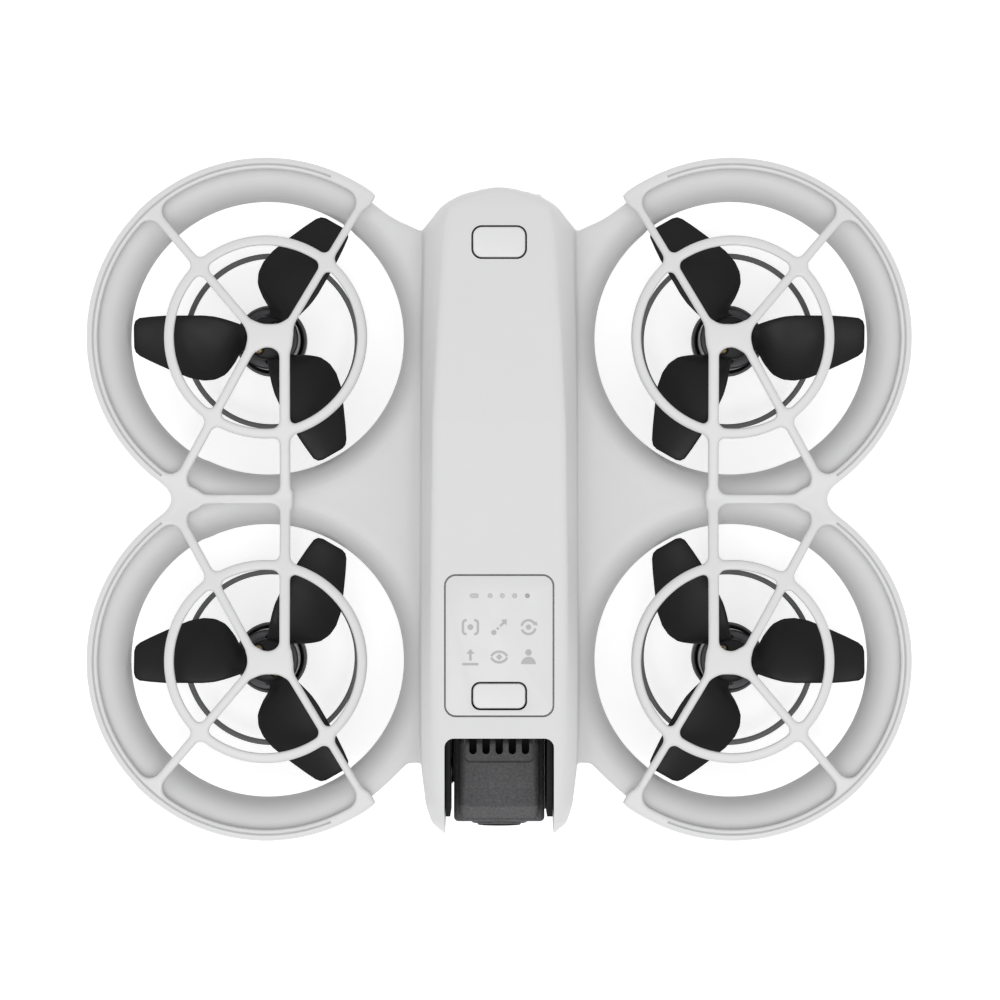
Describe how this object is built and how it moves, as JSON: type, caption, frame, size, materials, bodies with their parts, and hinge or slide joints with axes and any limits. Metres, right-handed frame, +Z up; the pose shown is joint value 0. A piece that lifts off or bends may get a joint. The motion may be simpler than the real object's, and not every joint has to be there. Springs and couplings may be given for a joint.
{
  "type": "camera drone",
  "caption": "Palm-size camera drone with ducted propellers under clip-on guards, a tilting nose camera and a slide-out battery.",
  "frame": {"origin": "on the ground under the centre of the drone's box", "axes": "-Y towards the nose and camera, +Y towards the tail, +X to the right seen from above with the tail up, +Z up"},
  "size_m": [0.1568, 0.1298, 0.0485],
  "materials": {
    "shell": "fine satin moulding, light neutral grey",
    "guard": "satin light grey moulding",
    "propeller": "satin black",
    "motor": "anodised dark grey",
    "copper": "copper windings on a steel core",
    "steel": "bright steel",
    "brass": "bright brass screw",
    "camera": "grainy dark grey",
    "black": "matte black",
    "glass": "polished, coated",
    "board": "solder mask",
    "battery": "satin mid grey moulding",
    "cell": "laminated pouch",
    "heat_sink": "bead blasted",
    "rubber": "soft matte rubber",
    "light": "frosted clear"
  },
  "bodies": {
    "airframe": {"battery_connector": "black", "bay_liner": "black", "front_foot": "rubber", "gimbal_motor": "motor", "gimbal_pin": "steel", "ground_camera": "glass", "heat_sink": "heat_sink", "infrared_sensor": "glass", "level_light_guide": "light", "lower_shell": "shell", "main_board": "board", "mode_panel": "shell", "mode_switch": "black", "motor_stator_front_left": "copper", "motor_stator_front_right": "copper", "motor_stator_rear_left": "copper", "motor_stator_rear_right": "copper", "power_switch": "black", "rear_foot": "rubber", "shell_screw_1": "steel", "shell_screw_2": "steel", "shell_screw_3": "steel", "shell_screw_4": "steel", "status_light": "light", "upper_shell": "shell", "usb_port": "steel"},
    "rotor_rear_left": {"propeller_rear_left": "propeller", "motor_bell_rear_left": "motor", "motor_shaft_rear_left": "steel", "propeller_screw_rear_left_1": "brass", "propeller_screw_rear_left_2": "brass"},
    "rotor_rear_right": {"propeller_rear_right": "propeller", "motor_bell_rear_right": "motor", "motor_shaft_rear_right": "steel", "propeller_screw_rear_right_1": "brass", "propeller_screw_rear_right_2": "brass"},
    "rotor_front_left": {"propeller_front_left": "propeller", "motor_bell_front_left": "motor", "motor_shaft_front_left": "steel", "propeller_screw_front_left_1": "brass", "propeller_screw_front_left_2": "brass"},
    "rotor_front_right": {"propeller_front_right": "propeller", "motor_bell_front_right": "motor", "motor_shaft_front_right": "steel", "propeller_screw_front_right_1": "brass", "propeller_screw_front_right_2": "brass"},
    "camera": {"camera_head": "camera", "lens_barrel": "black", "lens_glass": "glass", "image_sensor_board": "board"},
    "mode_button_body": {"mode_button": "shell"},
    "power_button_body": {"power_button": "shell"},
    "battery": {"battery_case": "battery", "battery_cell_lower": "cell", "battery_cell_upper": "cell", "battery_terminal": "black"},
    "left_buckle": {"battery_buckle_left": "battery"},
    "left_guard_body": {"left_guard": "guard"},
    "right_buckle": {"battery_buckle_right": "battery"},
    "right_guard_body": {"right_guard": "guard"}
  },
  "joints": [
    {"name": "spin_rear_left", "type": "hinge", "parent": "airframe", "child": "rotor_rear_left", "pos_m": [-0.04437, 0.03082, 0.028], "axis": [0, 0, 1], "continuous": true},
    {"name": "spin_rear_right", "type": "hinge", "parent": "airframe", "child": "rotor_rear_right", "pos_m": [0.04437, 0.03082, 0.028], "axis": [0, 0, 1], "continuous": true},
    {"name": "spin_front_left", "type": "hinge", "parent": "airframe", "child": "rotor_front_left", "pos_m": [-0.04437, -0.03082, 0.028], "axis": [0, 0, 1], "continuous": true},
    {"name": "spin_front_right", "type": "hinge", "parent": "airframe", "child": "rotor_front_right", "pos_m": [0.04437, -0.03082, 0.028], "axis": [0, 0, 1], "continuous": true},
    {"name": "camera_tilt", "type": "hinge", "parent": "airframe", "child": "camera", "pos_m": [0, -0.0518, 0.029], "axis": [-1, 0, 0], "range_deg": [-90, 60]},
    {"name": "mode_button_press", "type": "slide", "parent": "airframe", "child": "mode_button_body", "axis": [0, 0, -1], "range_m": [0, 0.0004], "stiffness_N_per_m": 1500},
    {"name": "power_button_press", "type": "slide", "parent": "airframe", "child": "power_button_body", "axis": [0, 0, -1], "range_m": [0, 0.0004], "stiffness_N_per_m": 1500},
    {"name": "battery_slide", "type": "slide", "parent": "airframe", "child": "battery", "axis": [0, 1, 0], "range_m": [0, 0.066]},
    {"name": "left_buckle_press", "type": "slide", "parent": "battery", "child": "left_buckle", "axis": [1, 0, 0], "range_m": [0, 0.0012], "stiffness_N_per_m": 1200},
    {"name": "left_guard_lift", "type": "slide", "parent": "airframe", "child": "left_guard_body", "axis": [0, 0, 1], "range_m": [0, 0.02]},
    {"name": "right_buckle_press", "type": "slide", "parent": "battery", "child": "right_buckle", "axis": [-1, 0, 0], "range_m": [0, 0.0012], "stiffness_N_per_m": 1200},
    {"name": "right_guard_lift", "type": "slide", "parent": "airframe", "child": "right_guard_body", "axis": [0, 0, 1], "range_m": [0, 0.02]}
  ]
}
